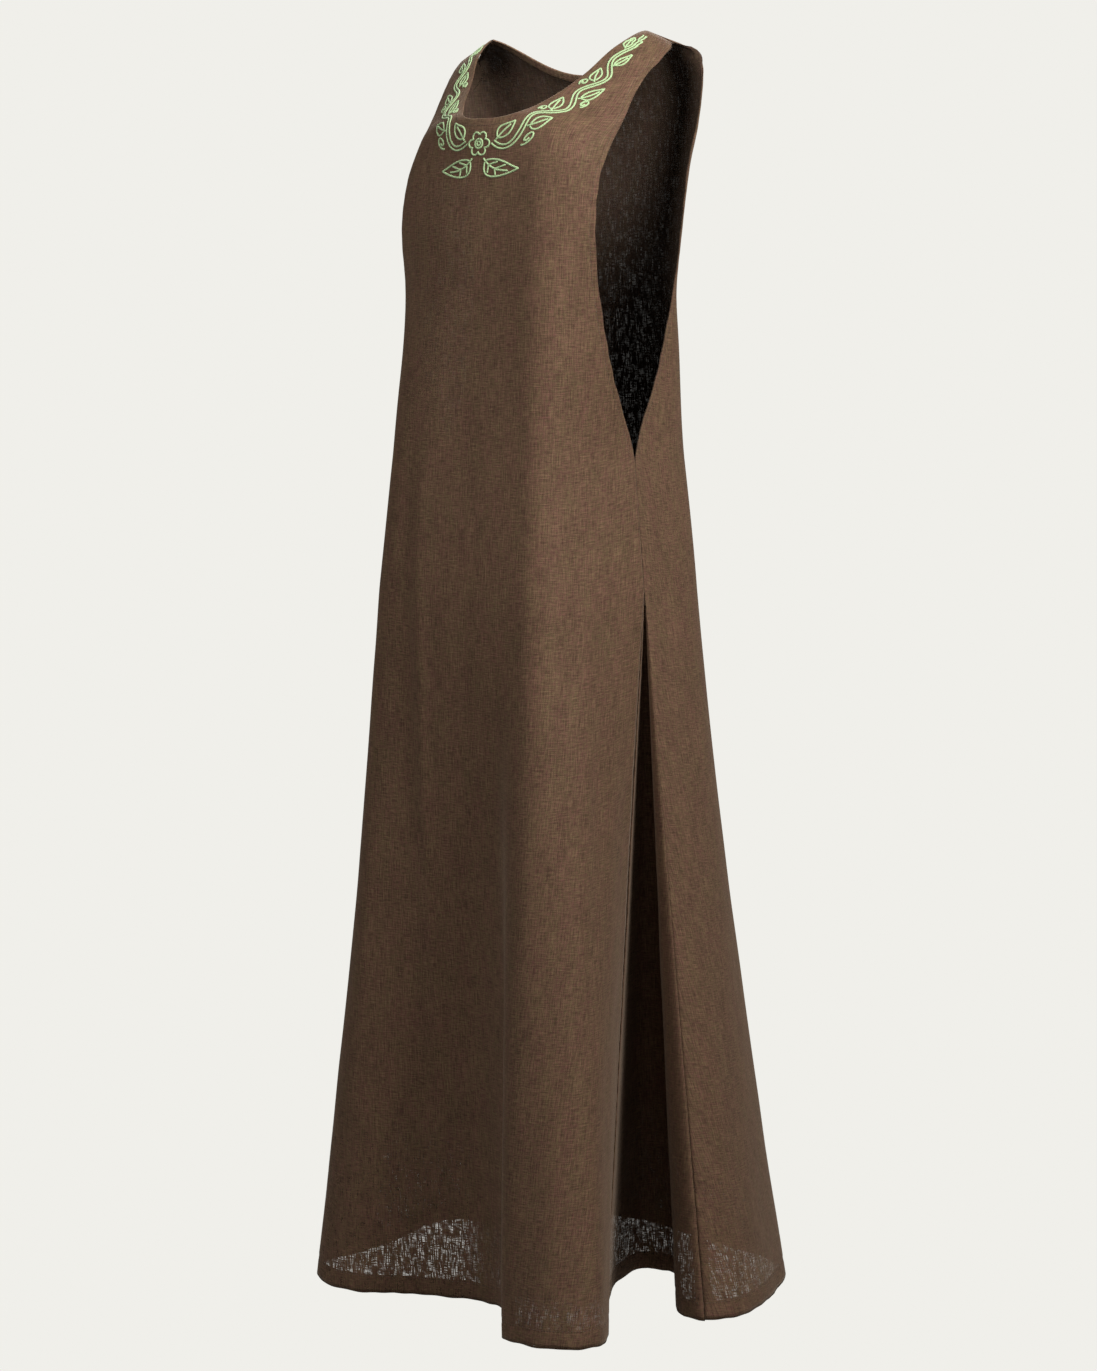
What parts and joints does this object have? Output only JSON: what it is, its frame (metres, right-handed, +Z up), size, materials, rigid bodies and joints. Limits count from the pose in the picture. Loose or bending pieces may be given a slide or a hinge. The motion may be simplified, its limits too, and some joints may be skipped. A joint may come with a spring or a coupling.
{
  "type": "apron dress",
  "caption": "Long sleeveless apron dress with a wide neck, deep armholes and a flared skirt with a gore in each side seam, worn with nobody in it.",
  "frame": {"origin": "midway between the neck ends of the two shoulder seams, at their height, where the wearer holds the dress up", "axes": "+Z up, the front faces -Y, the wearer's left side is +X"},
  "size_m": [0.4806, 0.4412, 1.3426],
  "materials": {
    "linen": "dark brown plain-weave linen, slubbed, slightly sheer, with a dull sheen",
    "turned_edge": "the same linen, folded to a double edge",
    "embroidery": "light green embroidery thread, slightly glossy",
    "sewing_thread": "dark brown sewing thread"
  },
  "bodies": {
    "root": {"front_panel": "linen", "back_panel": "linen", "left_gore": "linen", "right_gore": "linen", "back_neck_facing": "turned_edge"}
  },
  "joints": []
}
